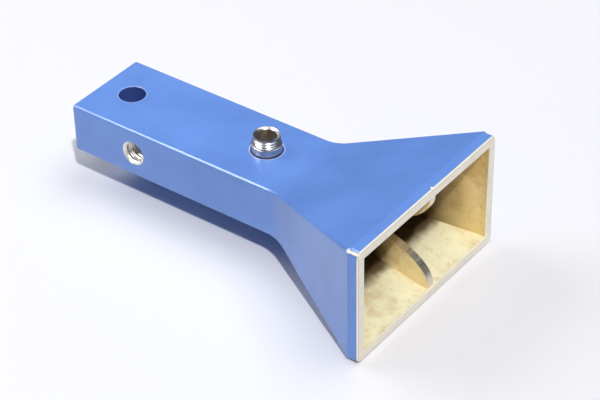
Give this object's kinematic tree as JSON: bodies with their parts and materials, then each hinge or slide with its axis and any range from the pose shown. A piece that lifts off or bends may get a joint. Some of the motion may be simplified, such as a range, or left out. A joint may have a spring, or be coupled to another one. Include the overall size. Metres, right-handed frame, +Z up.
{
  "type": "horn antenna",
  "caption": "Double-ridged pyramidal horn antenna: feed block with a plain and a tapped mounting hole, a coaxial jack on top and a flared mouth with tapered ridges.",
  "frame": {"origin": "under the middle of the box round the horn, level with the lower side of the mouth", "axes": "+X is the boresight, out of the mouth; +Z is up, the side with the coaxial jack; -Y is the side with the tapped hole"},
  "size_m": [0.16, 0.091, 0.0516],
  "materials": {
    "paint": "satin",
    "gold_chromate": "satin",
    "jack_metal": "satin",
    "bead": "matte",
    "contact": "polished"
  },
  "bodies": {
    "root": {"horn_body": "paint", "ridge_lower": "gold_chromate", "ridge_upper": "gold_chromate", "jack_body": "jack_metal", "jack_insulator": "bead", "centre_contact": "contact"}
  },
  "joints": []
}
